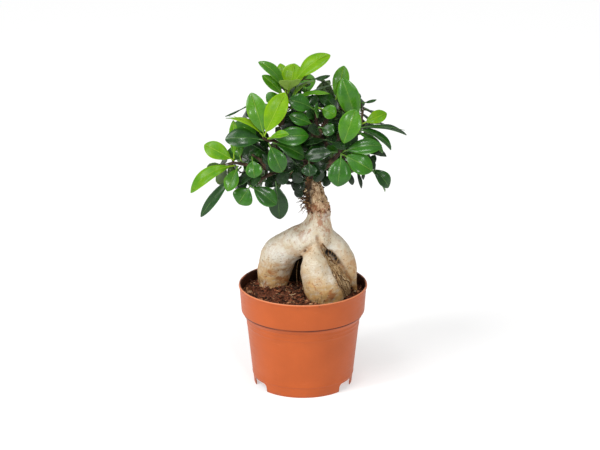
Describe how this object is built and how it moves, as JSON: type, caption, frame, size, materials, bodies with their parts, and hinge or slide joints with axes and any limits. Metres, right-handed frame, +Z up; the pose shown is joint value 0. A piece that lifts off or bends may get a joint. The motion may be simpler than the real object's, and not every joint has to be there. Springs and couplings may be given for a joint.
{
  "type": "potted fig bonsai",
  "caption": "Small fig tree with swollen bare roots and a layered crown of waxy leaves, rooted in soil in a banded round plastic nursery pot.",
  "frame": {"origin": "under the middle of the plant's whole spread, on the table the pot stands on; the pot's own axis stands 4.1 mm towards +X and 8.4 mm towards -Y of it", "axes": "+Z up along the pot's axis, -Y towards the plant's best side, +X to the viewer's right when facing that side"},
  "size_m": [0.1991, 0.1368, 0.3202],
  "materials": {
    "pot": "terracotta-coloured moulded plastic with a soft sheen",
    "soil": "dark crumbly potting mix",
    "rootstock": "smooth pale bark, browner near the soil and on the trunk",
    "scion_wood": "dark brown young bark",
    "leaf_young": "waxy bright yellow-green",
    "leaf_mature": "waxy dark green with pale highlights"
  },
  "bodies": {
    "root": {"pot": "pot", "soil": "soil", "rootstock": "rootstock", "scion_wood": "scion_wood", "leaf_crown_1": "leaf_young", "leaf_crown_2": "leaf_mature", "leaf_crown_3": "leaf_young", "leaf_crown_4": "leaf_young", "leaf_crown_5": "leaf_mature", "leaf_crown_6": "leaf_young", "leaf_crown_7": "leaf_mature", "leaf_crown_8": "leaf_mature", "leaf_crown_9": "leaf_mature", "leaf_crown_10": "leaf_young", "leaf_leader_1": "leaf_young", "leaf_leader_2": "leaf_mature", "leaf_leader_3": "leaf_mature", "leaf_heart_1": "leaf_mature", "leaf_heart_2": "leaf_mature", "leaf_left_front_1": "leaf_young", "leaf_left_front_2": "leaf_mature", "leaf_left_front_3": "leaf_young", "leaf_left_front_4": "leaf_young", "leaf_left_front_5": "leaf_mature", "leaf_left_front_6": "leaf_mature", "leaf_left_front_7": "leaf_mature", "leaf_left_front_8": "leaf_mature", "leaf_left_front_9": "leaf_mature", "leaf_left_low_1": "leaf_young", "leaf_left_low_2": "leaf_young", "leaf_left_low_3": "leaf_young", "leaf_left_low_4": "leaf_mature", "leaf_left_low_5": "leaf_mature", "leaf_left_low_6": "leaf_mature", "leaf_left_bud_1": "leaf_mature", "leaf_left_drop_1": "leaf_mature", "leaf_left_drop_2": "leaf_mature", "leaf_low_front_1": "leaf_mature", "leaf_right_1": "leaf_mature", "leaf_right_2": "leaf_young", "leaf_right_3": "leaf_mature", "leaf_right_4": "leaf_mature", "leaf_right_5": "leaf_mature", "leaf_right_top_1": "leaf_mature", "leaf_right_front_1": "leaf_mature", "leaf_right_front_2": "leaf_mature", "leaf_right_front_3": "leaf_mature", "leaf_right_front_4": "leaf_mature", "leaf_right_front_5": "leaf_mature", "leaf_right_low_1": "leaf_mature", "leaf_right_low_2": "leaf_mature", "leaf_heart_low_1": "leaf_mature", "leaf_back_right_1": "leaf_mature", "leaf_back_right_2": "leaf_mature", "leaf_back_left_1": "leaf_mature", "leaf_back_left_2": "leaf_mature", "leaf_back_top_1": "leaf_mature", "leaf_side_left_1": "leaf_mature", "leaf_side_right_1": "leaf_mature", "leaf_back_low_1": "leaf_mature"}
  },
  "joints": []
}
